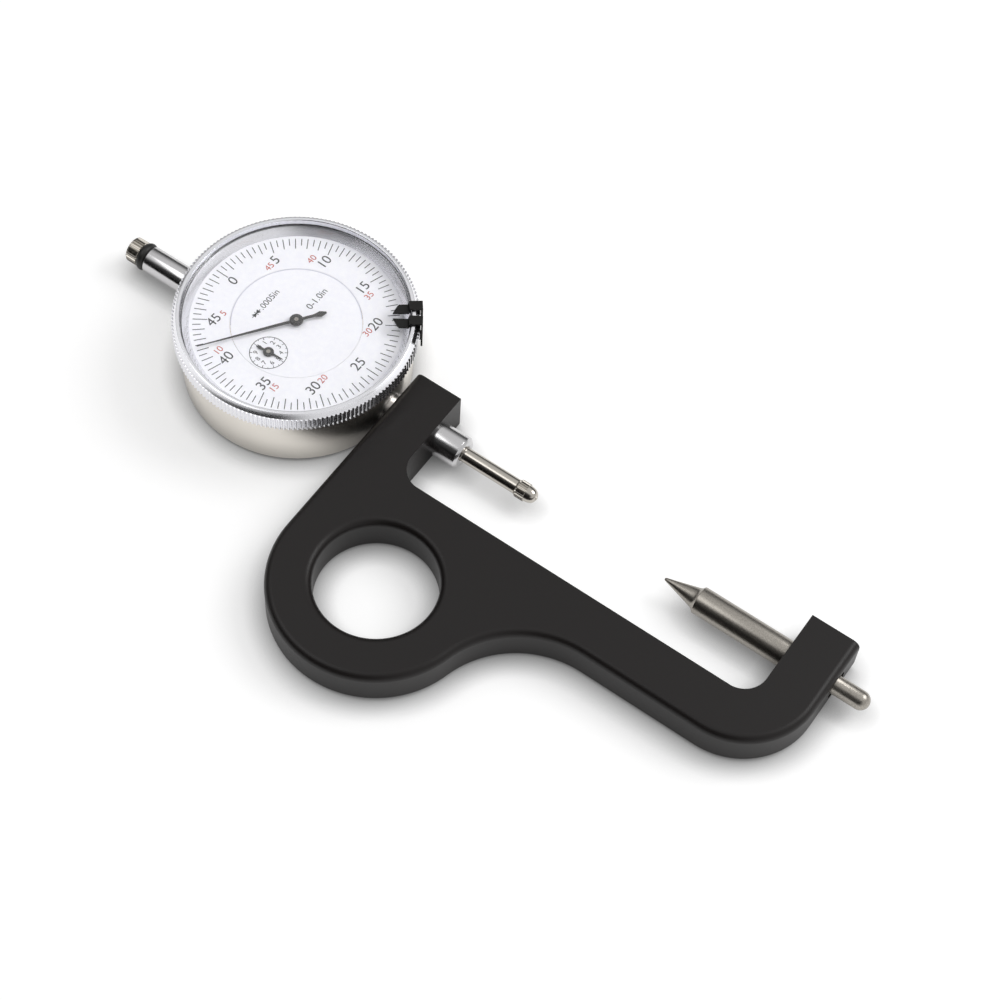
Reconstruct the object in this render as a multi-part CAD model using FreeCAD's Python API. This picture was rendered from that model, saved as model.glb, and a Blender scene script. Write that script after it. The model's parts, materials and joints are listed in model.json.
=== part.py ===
import FreeCAD, Part
import math
import os
from FreeCAD import Vector

# Bolt stretch gauge: a dial indicator clamped in a C-shaped plate, facing an anvil.
# Millimetres. Origin on the dial's centre line, at the level the gauge lies on.
# X runs along the spindle to the anvil, Y to the open side of the C, Z up through the dial.

# Frame plate
plate_thickness = 12.7
bar_width = 14.8
throat_length = 113.4
throat_depth = 30.2
throat_corner_radius = 7.1
arm_end_y = 10.7
ring_outer_radius = 29.5
finger_hole_radius = 16.9
ring_drop = 28.9
waist_radius = 28.7
edge_round = 1.8

# Dial case and its back cover
case_radius = 32.4
case_height = 17.7
case_wall = 2.5
case_foot_chamfer = 1.2
case_rim_depth = 2.8
case_rim_step = 0.5
case_to_arm_gap = 1.15
back_cover_thickness = 1.4
back_cover_chamfer = 0.3
back_cover_step = 0.65
back_flange_width = 3.0
back_flange_thickness = 1.4
back_screw_radius = 0.8
back_screw_head_radius = 1.5
back_screw_count = 4
screw_slot_width = 0.4
screw_slot_depth = 0.4

# Stem, rear tube and spindle
stem_radius = 4.7625
stem_nose_length = 9.1
stem_chamfer = 0.8
stem_land_length = 8.0
stem_relief = 0.6
tube_inset = 0.4
rear_tube_radius = 4.0
rear_tube_length = 20.65
rear_land_length = 3.5
small_chamfer = 0.3
spindle_radius = 2.19
spindle_exposed = 17.9
spindle_travel = 12.9
spindle_rear_length = 28.0
rear_rod_radius = 1.6
knob_radius = 3.75
knob_length = 3.8
knob_knurl_depth = 0.35
knob_teeth = 28
knob_floor = 1.0
o_ring_section = 1.28
o_ring_width = 2.5
o_ring_half_flat = 0.45
o_ring_half_bulge = 0.75
o_ring_bulge_drop = 0.25

# Contact point
contact_radius = 2.65
contact_knurl_length = 3.0
contact_nose_length = 3.2
contact_tip_radius = 0.7
contact_collar = 0.4
contact_knurl_depth = 0.3
contact_teeth = 22
contact_stud_radius = 1.1
contact_stud_length = 4.0

# Anvil
bolt_gap = 41.5
anvil_radius = 3.97
anvil_cone_length = 9.6
anvil_tip_radius = 0.42
anvil_flare_length = 1.3
anvil_cone_base_radius = 2.95
anvil_tail_radius = 2.7
anvil_tail_reach = 10.1
anvil_shoulder_depth = 0.4

# Set screws in the ends of the arms
set_screw_radius = 2.4
set_screw_recess = 0.5
set_screw_hex = 2.4
set_screw_socket_depth = 2.0

# Bezel, crystal and dial: levels count up from the case's rim, radii out from its wall
bezel_overhang = 1.8
bezel_lift = 0.9
bezel_height = 6.1
bezel_shoulder_drop = 0.9
bezel_shoulder_width = 0.9
bezel_lip_width = 2.4
bezel_lip_round = 0.15
bezel_foot_width = 0.8
bezel_teeth = 172
bezel_tooth_depth = 0.45
bezel_neck_depth = 2.3
bezel_neck_wall = 0.7
crystal_seat_width = 0.45
crystal_recess = 1.8
crystal_thickness = 0.8
crystal_chamfer = 0.15
dial_rise = 2.15
dial_thickness = 0.4
dial_edge_gap = 0.1
disc_share = 0.583
arbor_window = 0.5
retaining_ring_width = 0.7
retaining_ring_height = 0.5
retaining_ring_gap = 3.0
retaining_ring_gap_angle = 115

# Limit clips on the bezel
clip_sheet = 0.5
clip_width = 2.9
clip_reach = 5.3
clip_point_length = 1.3
clip_corner = 0.5
clip_ramp_start = 0.75
clip_ramp_end = 0.3
clip_hook_length = 1.05
clip_crystal_gap = 0.25
clip_rim_gap = 0.15
clip_tab_length = 4.6
clip_tab_height = 3.4
clip_tab_drop = 1.15
clip_tab_round = 1.2
clip_angle = 36.2
clip_half_gap_angle = 1.8

# Gear train, all on arbors that stand along Z
rack_module = 25.4 / 32 / math.pi
rack_pitch_offset = 1.7
rack_pinion_teeth = 16
wheel_teeth = 100
centre_pinion_teeth = 10
wheels_share = 0.008
counter_share = 0.4
counter_drive_teeth = 30
counter_teeth = 60
mesh_gap = 0.03
tooth_backlash = 0.05
pressure_angle = math.radians(20)
arbor_radius = 0.6
wheel_thickness = 0.7
wheel_lift = 0.7
wheel_spacing = 1.2
pinion_margin = 0.4
arbor_end_gap = 0.1
arbor_foot_gap = 0.3

# Movement plates
lower_plate_inset = 2.7
lower_plate_thickness = 1.2
lower_plate_lift = 0.46
upper_plate_inset = 5.2
upper_plate_thickness = 1.0
plate_gap = 4.8
pillar_radius = 1.2
pillar_spigot_radius = 0.8
pillar_inset = 2.5
pillar_angles = (132, 68, -35, -123.5)
lug_angles = (50, 130, 270)
lug_inset = 2.0
lug_radius = 3.2
lug_hole_depth = 4.0
lug_screw_depth = 3.5
lug_screw_head_height = 0.9
dial_post_radius = 1.2
dial_post_inset = 7.3
dial_post_angles = (100, 220, 340)
bridge_thickness = 1.0
bridge_half_width = 6.0
bridge_reach = 8.6
bridge_margin = 1.2
bridge_leg_radius = 1.5
bridge_leg_inset = 2.0
bridge_corner_radius = 1.1
bridge_drop = 1.4

# Hands
main_hand_lift = 0.95
main_hand_tip_gap = 3.0
main_hand_tail = 8.7
main_hand_half_width = 0.42
main_hand_angle = -125.65
counter_hand_lift = 0.3
counter_hand_length = 4.55
counter_hand_tail = 3.68
counter_hand_half_width = 0.3
counter_hand_angle = 4.4
hand_hub_radius = 1.9
hand_hub_height = 0.5
counter_hub_radius = 1.5
counter_hub_height = 0.25
hand_sheet = 0.2

# Springs and pins
spring_coil_radius = 1.5
spring_wire_radius = 0.25
spring_turns = 9
spring_offset = 7.0
spring_hook_gap = 0.3
spring_post_inset = 13.9
spring_pin_stop = 2.1
guide_pin_inset = 9.9
guide_pin_radius = 0.8
guide_slot_margin = 0.3
small_pin_radius = 0.7
small_pin_collar = 0.3
hairspring_inner = 1.6
hairspring_turns = 3
hairspring_pitch = 0.9
hairspring_strip = 0.15
hairspring_height = 0.6
hairspring_stud_radius = 0.4

# Clearances
fixed_gap = 0.01
press_gap = 0.005
running_gap = 0.05
rim_gap = 0.08

# Places worked out from the sizes above
axis_z = plate_thickness / 2
arm_left = case_radius + case_to_arm_gap
throat_left = arm_left + bar_width
throat_right = throat_left + throat_length
arm_right = throat_right + bar_width
throat_floor = arm_end_y - throat_depth
spine_low = throat_floor - bar_width
ring_x = arm_left + ring_outer_radius
ring_y = throat_floor - ring_drop
case_inner = case_radius - case_wall
rim_bore = case_inner + case_rim_step
stem_start = case_inner - tube_inset
stem_end = throat_left + stem_nose_length
rear_tube_end = -(case_radius + rear_tube_length)
spindle_front = stem_end + spindle_exposed
contact_shoulder = spindle_front + contact_knurl_length
contact_tip = contact_shoulder + contact_nose_length
anvil_tip = contact_tip + bolt_gap
bezel_radius = case_radius + bezel_overhang
bezel_bottom = case_height + bezel_lift
bezel_top = bezel_bottom + bezel_height
knurl_top = bezel_top - bezel_shoulder_drop
lip_radius = bezel_radius - bezel_lip_width
crystal_radius = lip_radius - running_gap
crystal_top = bezel_top - crystal_recess
crystal_bottom = crystal_top - crystal_thickness
dial_opening_radius = lip_radius - crystal_seat_width
dial_level = case_height + dial_rise
dial_bottom = dial_level - dial_thickness
disc_radius = disc_share * dial_opening_radius
clip_tip_radius = lip_radius - clip_reach
lower_plate_radius = case_inner - lower_plate_inset
lower_plate_z = axis_z + spindle_radius + lower_plate_lift
lower_plate_top = lower_plate_z + lower_plate_thickness
upper_plate_radius = lower_plate_radius - upper_plate_inset
upper_plate_z = lower_plate_top + plate_gap
upper_plate_top = upper_plate_z + upper_plate_thickness
pillar_circle = upper_plate_radius - pillar_inset
lug_circle = lower_plate_radius - lug_inset
dial_post_circle = upper_plate_radius - dial_post_inset
wheel_z = lower_plate_top + wheel_lift
counter_wheel_z = wheel_z + wheel_thickness + wheel_spacing
spring_post_x = case_inner - spring_post_inset
spring_pin_x = spindle_travel + spring_pin_stop - stem_start
guide_pin_x = case_inner - guide_pin_inset
centre_module = wheels_share * upper_plate_radius
counter_offset = counter_share * dial_opening_radius
rack_pinion_pitch = rack_module * rack_pinion_teeth / 2
rack_arbor_y = -(rack_pitch_offset + rack_pinion_pitch + mesh_gap)
centre_distance = centre_module * (wheel_teeth + centre_pinion_teeth) / 2 + mesh_gap
rack_arbor_x = -math.sqrt(centre_distance ** 2 - rack_arbor_y ** 2)
counter_distance = math.hypot(rack_arbor_x, counter_offset + rack_arbor_y)
counter_module = 2 * (counter_distance - mesh_gap) / (counter_drive_teeth + counter_teeth)
main_hand_length = dial_opening_radius - main_hand_tip_gap
main_hand_z = dial_level + main_hand_lift
counter_hand_z = dial_level + counter_hand_lift

os.makedirs("parts", exist_ok=True)


# Small building helpers

def save(name, shape):
    shape.exportStep(os.path.join("parts", name + ".step"))


def cylinder_z(radius, z0, z1, x=0.0, y=0.0):
    return Part.makeCylinder(radius, z1 - z0, Vector(x, y, z0), Vector(0, 0, 1))


def through_z(radius, z0, z1, x=0.0, y=0.0):
    """Upright cutter that runs a little past both faces."""
    return cylinder_z(radius, z0 - small_chamfer, z1 + small_chamfer, x, y)


def cylinder_x(radius, x0, x1, y=0.0, z=axis_z):
    return Part.makeCylinder(radius, x1 - x0, Vector(x0, y, z), Vector(1, 0, 0))


def cylinder_y(radius, y0, y1, x, z=axis_z):
    return Part.makeCylinder(radius, y1 - y0, Vector(x, y0, z), Vector(0, 1, 0))


def polygon_face(points):
    vectors = [Vector(*p) for p in points]
    return Part.Face(Part.makePolygon(vectors + [vectors[0]]))


def turned_z(section, x=0.0, y=0.0):
    """Turn a section of (radius, height) points about an upright axis."""
    face = polygon_face([(x + r, y, z) for r, z in section])
    return face.revolve(Vector(x, y, 0), Vector(0, 0, 1), 360)


def turned_x(section):
    """Turn a section of (x, radius) points about the spindle's axis."""
    face = polygon_face([(x, 0, axis_z + r) for x, r in section])
    return face.revolve(Vector(0, 0, axis_z), Vector(1, 0, 0), 360)


def dome_points(x, length, radius, flat_radius, steps):
    """Section points of a dome that starts at x with the full radius and ends on a flat."""
    points = []
    for k in range(steps + 1):
        turn = math.pi / 2 * k / steps
        height = flat_radius + (radius - flat_radius) * math.cos(turn)
        points.append((x + length * math.sin(turn), height if k < steps else flat_radius))
    return points


def prism_z(points, z0, z1):
    face = polygon_face([(x, y, z0) for x, y in points])
    return face.extrude(Vector(0, 0, z1 - z0))


def on_circle(radius, degrees, x=0.0, y=0.0):
    turn = math.radians(degrees)
    return x + radius * math.cos(turn), y + radius * math.sin(turn)


def turned_about_z(shape, degrees, x=0.0, y=0.0):
    moved = shape.copy()
    moved.rotate(Vector(x, y, 0), Vector(0, 0, 1), degrees)
    return moved


def joined(shapes):
    return shapes[0].multiFuse(shapes[1:]).removeSplitter()


def group(shapes):
    return Part.makeCompound(shapes)


# Toothed and knurled outlines

def involute(angle):
    return math.tan(angle) - angle


def gear_points(teeth, module, first_tooth, flank_steps):
    """Outline of a spur gear with a tooth centred on first_tooth degrees."""
    pitch = module * teeth / 2
    base = pitch * math.cos(pressure_angle)
    tip = pitch + module
    root = pitch - 1.25 * module
    half_at_pitch = (math.pi * module / 2 - tooth_backlash) / 2 / pitch
    radii = [root + (tip - root) * k / flank_steps for k in range(flank_steps + 1)]
    half_angles = []
    for radius in radii:
        lean = math.acos(base / radius) if radius > base else 0.0
        half_angles.append(half_at_pitch + involute(pressure_angle) - involute(lean))
    points = []
    for tooth in range(teeth):
        middle = math.radians(first_tooth) + 2 * math.pi * tooth / teeth
        for radius, half in zip(radii, half_angles):
            points.append((radius * math.cos(middle - half), radius * math.sin(middle - half)))
        for radius, half in reversed(list(zip(radii, half_angles))):
            points.append((radius * math.cos(middle + half), radius * math.sin(middle + half)))
    return points


def gear(teeth, module, first_tooth, z0, z1, x, y, flank_steps=1):
    outline = gear_points(teeth, module, first_tooth, flank_steps)
    return prism_z([(x + px, y + py) for px, py in outline], z0, z1)


def knurl_points(teeth, radius, depth):
    """Straight knurl of sharp teeth: crests on the radius, grooves the depth below it."""
    points = []
    for tooth in range(teeth):
        middle = 360.0 * tooth / teeth
        points.append(on_circle(radius, middle))
        points.append(on_circle(radius - depth, middle + 180.0 / teeth))
    return points


def knurled_band_x(teeth, radius, depth, x0, x1):
    outline = knurl_points(teeth, radius, depth)
    face = polygon_face([(x0, px, axis_z + py) for px, py in outline])
    return face.extrude(Vector(x1 - x0, 0, 0))


# Frame plate: the outer edge and the finger hole are rounded over, the throat is left square

def frame_blank():
    corner_x = throat_right - throat_corner_radius
    corner_y = throat_floor + throat_corner_radius
    corner_radius = throat_corner_radius + bar_width
    waist_y = spine_low - waist_radius
    waist_x = ring_x + math.sqrt((ring_outer_radius + waist_radius) ** 2 - (waist_y - ring_y) ** 2)
    share = ring_outer_radius / (ring_outer_radius + waist_radius)
    joint_point = Vector(ring_x + (waist_x - ring_x) * share, ring_y + (waist_y - ring_y) * share, 0)
    waist_start = math.atan2(joint_point.y - waist_y, joint_point.x - waist_x)
    waist_middle = (waist_start + math.pi / 2) / 2
    edges = [
        Part.makeLine(Vector(arm_left, arm_end_y, 0), Vector(arm_right, arm_end_y, 0)),
        Part.makeLine(Vector(arm_right, arm_end_y, 0), Vector(arm_right, corner_y, 0)),
        Part.Arc(
            Vector(arm_right, corner_y, 0),
            Vector(*on_circle(corner_radius, -45, corner_x, corner_y), 0),
            Vector(corner_x, spine_low, 0),
        ).toShape(),
        Part.makeLine(Vector(corner_x, spine_low, 0), Vector(waist_x, spine_low, 0)),
        Part.Arc(
            Vector(waist_x, spine_low, 0),
            Vector(*on_circle(waist_radius, math.degrees(waist_middle), waist_x, waist_y), 0),
            joint_point,
        ).toShape(),
        Part.Arc(
            joint_point,
            Vector(*on_circle(ring_outer_radius, -100, ring_x, ring_y), 0),
            Vector(arm_left, ring_y, 0),
        ).toShape(),
        Part.makeLine(Vector(arm_left, ring_y, 0), Vector(arm_left, arm_end_y, 0)),
    ]
    blank = Part.Face(Part.Wire(edges)).extrude(Vector(0, 0, plate_thickness))
    rim = [e for e in blank.Edges if abs(e.Vertexes[0].Z - e.Vertexes[-1].Z) < 1e-6]
    return blank.makeFillet(edge_round, rim)


def throat_cut():
    depth = arm_end_y - throat_floor
    cut = Part.makeBox(throat_length, 2 * depth, 2 * plate_thickness)
    cut.translate(Vector(throat_left, throat_floor, -plate_thickness / 2))
    upright = [e for e in cut.Edges if e.BoundBox.ZLength > plate_thickness]
    corners = [e for e in upright if abs(e.BoundBox.YMax - throat_floor) < 1e-3]
    return cut.makeFillet(throat_corner_radius, corners)


def finger_hole_cutter():
    face_radius = finger_hole_radius + edge_round
    middle = cylinder_z(finger_hole_radius, -1, plate_thickness + 1, ring_x, ring_y)
    cutters = [middle]
    for start, torus_z in ((0.0, edge_round), (plate_thickness - edge_round, plate_thickness - edge_round)):
        flare = cylinder_z(face_radius, start, start + edge_round, ring_x, ring_y)
        rounding = Part.makeTorus(face_radius, edge_round, Vector(ring_x, ring_y, torus_z))
        cutters.append(flare.cut(rounding))
    return cutters


def frame_plate():
    plate = frame_blank().cut(throat_cut())
    for cutter in finger_hole_cutter():
        plate = plate.cut(cutter)
    plate = plate.cut(cylinder_x(stem_radius + fixed_gap, arm_left - 1, throat_left + 1))
    plate = plate.cut(cylinder_x(anvil_radius + running_gap, throat_right - 1, arm_right + 1))
    for x in (arm_left + bar_width / 2, throat_right + bar_width / 2):
        plate = plate.cut(cylinder_y(set_screw_radius + fixed_gap, 0, arm_end_y + 1, x))
    return plate


def set_screw(x, shaft_radius):
    """Socket set screw that bears on a round shaft."""
    start = shaft_radius + running_gap
    end = arm_end_y - set_screw_recess
    body = cylinder_y(set_screw_radius, start, end, x)
    corners = [on_circle(set_screw_hex / math.sqrt(3), 60 * k, x, axis_z) for k in range(6)]
    socket = polygon_face([(px, end - set_screw_socket_depth, pz) for px, pz in corners])
    return body.cut(socket.extrude(Vector(0, 2 * set_screw_socket_depth, 0)))


# Anvil: a turned pin with a point and a domed tail, which slides in the far arm until it is locked

def anvil():
    cone_end = anvil_tip + anvil_cone_length
    flare_end = cone_end + anvil_flare_length
    tail_end = arm_right + anvil_tail_reach
    rise = anvil_radius - anvil_cone_base_radius
    section = [
        (anvil_tip, 0),
        (anvil_tip, anvil_tip_radius),
        (cone_end, anvil_cone_base_radius),
        (cone_end + 0.5 * anvil_flare_length, anvil_cone_base_radius + 0.3 * rise),
        (cone_end + 0.85 * anvil_flare_length, anvil_cone_base_radius + 0.7 * rise),
        (flare_end, anvil_radius),
        (arm_right - anvil_shoulder_depth, anvil_radius),
        (arm_right - anvil_shoulder_depth, anvil_tail_radius),
    ]
    section += dome_points(tail_end - anvil_tail_radius, anvil_tail_radius, anvil_tail_radius, 0, 5)
    return turned_x(section)


# Case and back cover

def back_screw_places():
    circle = case_inner - back_cover_step - back_flange_width / 2
    return [on_circle(circle, 45 + 360.0 * k / back_screw_count) for k in range(back_screw_count)]


def back_screw_shape(x, y, gap):
    head = back_screw_head_radius + gap
    shank = back_screw_radius + gap
    depth = back_cover_thickness + 0.9 * back_flange_thickness + gap
    cone = head - shank
    return turned_z([(0, 0), (head, 0), (shank, cone), (shank, depth), (0, depth)], x, y)


def case():
    recess = case_inner - back_cover_step
    flange_inner = recess - back_flange_width
    flange_top = back_cover_thickness + back_flange_thickness
    rim_floor = case_height - case_rim_depth
    section = [
        (recess, 0),
        (case_radius - case_foot_chamfer, 0),
        (case_radius, case_foot_chamfer),
        (case_radius, case_height),
        (rim_bore, case_height),
        (rim_bore, rim_floor),
        (case_inner, rim_floor),
        (case_inner, flange_top),
        (flange_inner, flange_top),
        (flange_inner, back_cover_thickness),
        (recess, back_cover_thickness),
    ]
    shell = turned_z(section)
    lugs = []
    for angle in lug_angles:
        x, y = on_circle(lug_circle, angle)
        low = back_cover_thickness + back_flange_thickness / 2
        lug = cylinder_z(lug_radius, low, lower_plate_z, x, y)
        reach_x, reach_y = on_circle(case_inner + case_wall / 4, angle)
        side_x, side_y = on_circle(lug_radius, angle + 90)
        web = prism_z(
            [
                (x - side_x, y - side_y),
                (reach_x - side_x, reach_y - side_y),
                (reach_x + side_x, reach_y + side_y),
                (x + side_x, y + side_y),
            ],
            low, lower_plate_z,
        )
        lugs.extend([lug, web])
    shell = joined([shell] + lugs)
    shell = shell.cut(ring_groove())
    wall_middle = case_radius - case_wall / 2
    for radius, x in ((stem_radius, wall_middle), (rear_tube_radius, -wall_middle)):
        shell = shell.cut(cylinder_x(radius + fixed_gap, x - case_wall, x + case_wall))
    for x, y in back_screw_places():
        shell = shell.cut(back_screw_shape(x, y, fixed_gap))
    for x, y in lug_places():
        hole_end = lower_plate_z - lug_hole_depth
        shell = shell.cut(cylinder_z(back_screw_radius + fixed_gap, hole_end, lower_plate_top, x, y))
    return shell


def case_back():
    cover = cylinder_z(case_inner - back_cover_step - running_gap, 0, back_cover_thickness)
    edge = [e for e in cover.Edges if abs(e.BoundBox.ZMax) < 1e-3 and abs(e.BoundBox.ZMin) < 1e-3]
    cover = cover.makeChamfer(back_cover_chamfer, edge)
    for x, y in back_screw_places():
        cover = cover.cut(back_screw_shape(x, y, fixed_gap))
    return cover


def screw_slot(x, y, z, degrees):
    """Cutter for a straight slot whose middle is at height z."""
    slot = Part.makeBox(3 * back_screw_head_radius, screw_slot_width, 2 * screw_slot_depth)
    slot.translate(Vector(x - 1.5 * back_screw_head_radius, y - screw_slot_width / 2, z - screw_slot_depth))
    return turned_about_z(slot, degrees, x, y)


def back_screws():
    screws = []
    for k, (x, y) in enumerate(back_screw_places()):
        slot = screw_slot(x, y, 0, 30 + 70 * k)
        screws.append(back_screw_shape(x, y, 0.0).cut(slot))
    return group(screws)


# Retaining ring: a sprung C-ring, half in the case's rim and half in the bezel's neck

def ring_heights():
    middle = case_height - 0.45 * case_rim_depth
    return middle - retaining_ring_height / 2, middle + retaining_ring_height / 2


def ring_radii():
    middle = rim_bore - rim_gap / 2
    return middle - retaining_ring_width / 2, middle + retaining_ring_width / 2


def ring_groove():
    low, high = ring_heights()
    inner, outer = ring_radii()
    gap = running_gap
    return cylinder_z(outer + gap, low - gap, high + gap).cut(cylinder_z(inner - gap, low - gap, high + gap))


def retaining_ring():
    low, high = ring_heights()
    inner, outer = ring_radii()
    ring = cylinder_z(outer, low, high).cut(cylinder_z(inner, low, high))
    gap = Part.makeBox(outer, retaining_ring_gap, 2 * retaining_ring_height)
    gap.translate(Vector(inner / 2, -retaining_ring_gap / 2, low - retaining_ring_height / 2))
    return ring.cut(turned_about_z(gap, retaining_ring_gap_angle))


# Stem, rear tube and spindle

def stem():
    bore = spindle_radius + running_gap
    section = [
        (stem_start, bore),
        (stem_start, stem_radius),
        (stem_end - stem_chamfer, stem_radius),
        (stem_end, stem_radius - stem_chamfer),
        (stem_end, bore + small_chamfer),
        (stem_end - small_chamfer, bore),
        (stem_end - stem_land_length, bore),
        (stem_end - stem_land_length, bore + stem_relief),
        (stem_start + stem_land_length, bore + stem_relief),
        (stem_start + stem_land_length, bore),
    ]
    return turned_x(section)


def rear_tube():
    bore = spindle_radius + running_gap
    land = rear_rod_radius + running_gap
    inner_end = -stem_start
    section = [
        (inner_end, bore),
        (inner_end, rear_tube_radius),
        (rear_tube_end + small_chamfer, rear_tube_radius),
        (rear_tube_end, rear_tube_radius - small_chamfer),
        (rear_tube_end, land),
        (rear_tube_end + rear_land_length, land),
        (rear_tube_end + rear_land_length, bore),
    ]
    return turned_x(section)


def rack_cutter():
    """Flat and tooth gaps of the rack, which faces the pinion on the -Y side."""
    pitch = math.pi * rack_module
    reach = rack_pinion_pitch + 2 * rack_module
    start = rack_arbor_x - reach
    end = rack_arbor_x + spindle_travel + reach
    low = axis_z - 2 * spindle_radius
    high = axis_z + 2 * spindle_radius
    tip_y = -(rack_pitch_offset + rack_module)
    root_y = -(rack_pitch_offset - 1.25 * rack_module)
    mouth_y = tip_y - running_gap
    flat = Part.makeBox(end - start, 2 * spindle_radius, high - low)
    flat.translate(Vector(start, tip_y - 2 * spindle_radius, low))
    gaps = [flat]
    half_at_pitch = (pitch + tooth_backlash) / 4
    wide = half_at_pitch - (rack_pitch_offset + mouth_y) * math.tan(pressure_angle)
    narrow = half_at_pitch - (rack_pitch_offset + root_y) * math.tan(pressure_angle)
    first = math.ceil((start - rack_arbor_x) / pitch)
    last = math.floor((end - rack_arbor_x) / pitch)
    for k in range(first, last + 1):
        middle = rack_arbor_x + k * pitch
        section = [
            (middle - wide, mouth_y),
            (middle + wide, mouth_y),
            (middle + narrow, root_y),
            (middle - narrow, root_y),
        ]
        gaps.append(prism_z(section, low, high))
    return group(gaps)


def spindle():
    rear_end = rear_tube_end - o_ring_width - knob_length + knob_floor + fixed_gap
    hole_end = spindle_front - contact_stud_length - small_chamfer
    section = [
        (rear_end, 0),
        (rear_end, rear_rod_radius),
        (-spindle_rear_length, rear_rod_radius),
        (-spindle_rear_length, spindle_radius - small_chamfer),
        (-spindle_rear_length + small_chamfer, spindle_radius),
        (spindle_front - small_chamfer, spindle_radius),
        (spindle_front, spindle_radius - small_chamfer),
        (spindle_front, contact_stud_radius + fixed_gap),
        (hole_end, contact_stud_radius + fixed_gap),
        (hole_end, 0),
    ]
    rod = turned_x(section).cut(rack_cutter())
    rod = rod.cut(cylinder_z(guide_pin_radius + press_gap, axis_z, axis_z + 2 * spindle_radius, guide_pin_x))
    return rod.cut(cylinder_y(small_pin_radius + press_gap, 0, 2 * spindle_radius, spring_pin_x))


def contact_point():
    band_start = spindle_front + contact_collar
    root = contact_radius - contact_knurl_depth
    section = [
        (spindle_front, 0),
        (spindle_front, root),
        (contact_shoulder, root),
    ]
    section += dome_points(contact_shoulder, 0.9 * contact_nose_length, root, contact_tip_radius, 5)
    section += [(contact_tip - running_gap, 0.6 * contact_tip_radius), (contact_tip, 0)]
    band = knurled_band_x(contact_teeth, contact_radius, contact_knurl_depth, band_start, contact_shoulder)
    stud = cylinder_x(contact_stud_radius, spindle_front - contact_stud_length, band_start)
    return joined([turned_x(section), band, stud])


def guide_pin():
    return cylinder_z(guide_pin_radius, axis_z + running_gap, lower_plate_top - small_chamfer, guide_pin_x)


def spring_pin():
    """Pin across the spindle, with a groove that keeps the spring's end."""
    half_groove = 2 * spring_wire_radius
    body = cylinder_y(small_pin_radius, running_gap, spring_offset + spring_coil_radius, spring_pin_x)
    low = spring_offset - half_groove
    high = spring_offset + half_groove
    groove = cylinder_y(2 * small_pin_radius, low, high, spring_pin_x)
    core = cylinder_y(0.7 * small_pin_radius, low, high, spring_pin_x)
    return body.cut(groove.cut(core))


def pull_knob():
    end = rear_tube_end - o_ring_width
    tip = end - knob_length
    bore = rear_rod_radius + fixed_gap
    root = knob_radius - knob_knurl_depth
    section = [
        (tip, 0),
        (tip, root - small_chamfer),
        (tip + small_chamfer, root),
        (end, root),
        (end, bore),
        (tip + knob_floor, bore),
        (tip + knob_floor, 0),
    ]
    band_start = tip + small_chamfer
    band = knurled_band_x(knob_teeth, knob_radius, knob_knurl_depth, band_start, end - small_chamfer)
    core = cylinder_x(bore, tip + knob_floor, end)
    return joined([turned_x(section), band.cut(core)])


def knob_o_ring():
    """Round section, pressed flat where it meets the tube and the knob."""
    middle = rear_tube_end - o_ring_width / 2
    seat = rear_rod_radius + running_gap + o_ring_section
    shoulder = o_ring_section - o_ring_bulge_drop
    section = [
        (middle - o_ring_width / 2, seat - o_ring_half_flat),
        (middle - o_ring_width / 2, seat + o_ring_half_flat),
        (middle - o_ring_half_bulge, seat + shoulder),
        (middle, seat + o_ring_section),
        (middle + o_ring_half_bulge, seat + shoulder),
        (middle + o_ring_width / 2, seat + o_ring_half_flat),
        (middle + o_ring_width / 2, seat - o_ring_half_flat),
        (middle + o_ring_half_bulge, seat - shoulder),
        (middle, seat - o_ring_section),
        (middle - o_ring_half_bulge, seat - shoulder),
    ]
    return turned_x(section)


# Bezel, crystal and dial

def bezel():
    neck_outer = rim_bore - rim_gap
    neck_inner = neck_outer - bezel_neck_wall
    neck_low = case_height - bezel_neck_depth
    underside = case_height + rim_gap
    root = bezel_radius - bezel_tooth_depth
    crest = bezel_radius - bezel_shoulder_width
    lip_edge = bezel_top - bezel_lip_round
    section = [
        (neck_inner, neck_low),
        (neck_outer, neck_low),
        (neck_outer, underside),
        (case_radius + small_chamfer, underside),
        (root - bezel_foot_width, bezel_bottom),
        (root, bezel_bottom),
        (root, knurl_top),
        (crest, lip_edge),
        (crest - 2 * bezel_lip_round, bezel_top),
        (lip_radius + 2 * bezel_lip_round, bezel_top),
        (lip_radius, lip_edge),
        (lip_radius, crystal_bottom),
        (dial_opening_radius, crystal_bottom),
        (dial_opening_radius, dial_bottom),
        (neck_inner, dial_bottom),
    ]
    ring = turned_z(section).cut(ring_groove())
    band = prism_z(knurl_points(bezel_teeth, bezel_radius, bezel_tooth_depth), bezel_bottom, knurl_top)
    return joined([ring, band.cut(through_z(root - bezel_lip_round, bezel_bottom, knurl_top))])


def crystal():
    disc = cylinder_z(crystal_radius, crystal_bottom, crystal_top)
    top = [e for e in disc.Edges if abs(e.BoundBox.ZMin - crystal_top) < 1e-3]
    return disc.makeChamfer(crystal_chamfer, top)


def dial_ring():
    ring = cylinder_z(dial_opening_radius - dial_edge_gap, dial_bottom, dial_level)
    return ring.cut(through_z(disc_radius + running_gap, dial_bottom, dial_level))


def dial_disc():
    disc = cylinder_z(disc_radius - running_gap, dial_bottom, dial_level)
    for y in (0, -counter_offset):
        disc = disc.cut(through_z(arbor_radius + arbor_window, dial_bottom, dial_level, 0, y))
    return disc


def dial_posts():
    posts = []
    for angle in dial_post_angles:
        x, y = on_circle(dial_post_circle, angle)
        posts.append(cylinder_z(dial_post_radius, upper_plate_top, dial_bottom, x, y))
    return group(posts)


# Limit clips: a bent strip that grips the bezel's rim, with a finger over the crystal

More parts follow.
